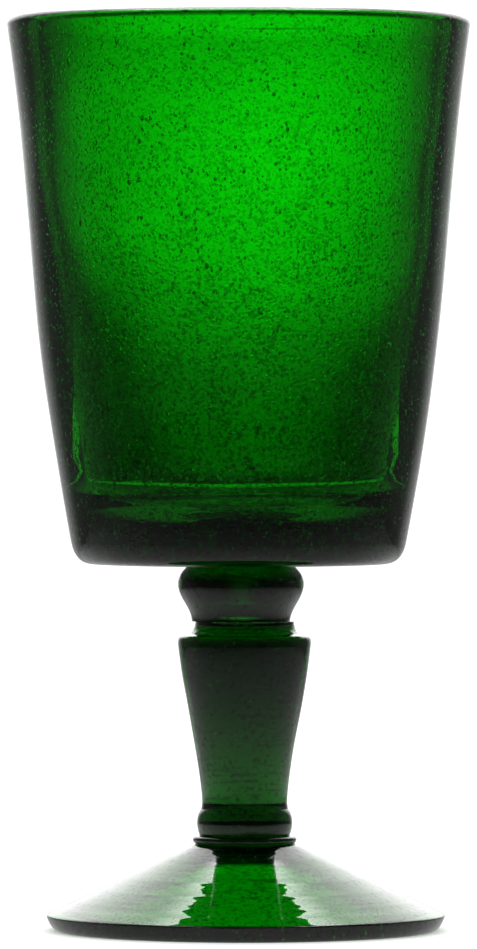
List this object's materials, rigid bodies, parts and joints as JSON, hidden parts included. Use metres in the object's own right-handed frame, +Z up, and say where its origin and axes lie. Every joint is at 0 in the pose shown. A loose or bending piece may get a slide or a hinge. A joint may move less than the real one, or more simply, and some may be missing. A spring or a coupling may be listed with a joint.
{
  "type": "wine goblet",
  "caption": "Hand-blown green seeded-glass wine goblet with a flared bowl, cushion knop, tapered shouldered stem, bead, thin disc and hollow conical foot.",
  "frame": {"origin": "on the surface that the foot stands on, under the axis of the bowl", "axes": "+Z up along the bowl's axis; +X to the right, the side towards which the stem and foot stand slightly off the bowl's axis; +Y towards the back"},
  "size_m": [0.075, 0.075, 0.15],
  "materials": {
    "bowl_glass": "fire-polished soda-lime glass, full of fine bubbles",
    "stem_glass": "fire-polished soda-lime glass, tooled while hot",
    "foot_glass": "fire-polished soda-lime glass with fine tooling rings"
  },
  "bodies": {
    "root": {"bowl": "bowl_glass", "knop": "stem_glass", "stem": "stem_glass", "bead": "stem_glass", "merese": "stem_glass", "foot": "foot_glass"}
  },
  "joints": []
}
